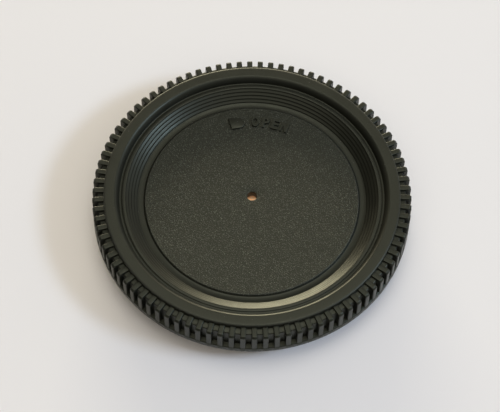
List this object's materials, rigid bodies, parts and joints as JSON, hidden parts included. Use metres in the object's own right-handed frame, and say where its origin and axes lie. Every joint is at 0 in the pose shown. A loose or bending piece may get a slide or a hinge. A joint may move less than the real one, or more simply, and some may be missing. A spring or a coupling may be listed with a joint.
{
  "type": "pinhole lens",
  "caption": "Round bayonet body cap with a knurled rim and a terraced front well, drilled at its centre and backed by a thin pierced metal plate: a pinhole lens.",
  "frame": {"origin": "on the axis that the cap is turned about, at the end of the collar that it rests on", "axes": "+Z along the optical axis, out of the front face; a tooth of the rim points along +X"},
  "size_m": [0.064, 0.064, 0.0108],
  "materials": {
    "cap_plastic": "satin moulded plastic, the disc finely grained",
    "plate_metal": "rolled copper-coloured sheet",
    "tape_film": "semi-gloss adhesive tape"
  },
  "bodies": {
    "root": {"cap_body": "cap_plastic", "pinhole_plate": "plate_metal", "tape": "tape_film"}
  },
  "joints": []
}
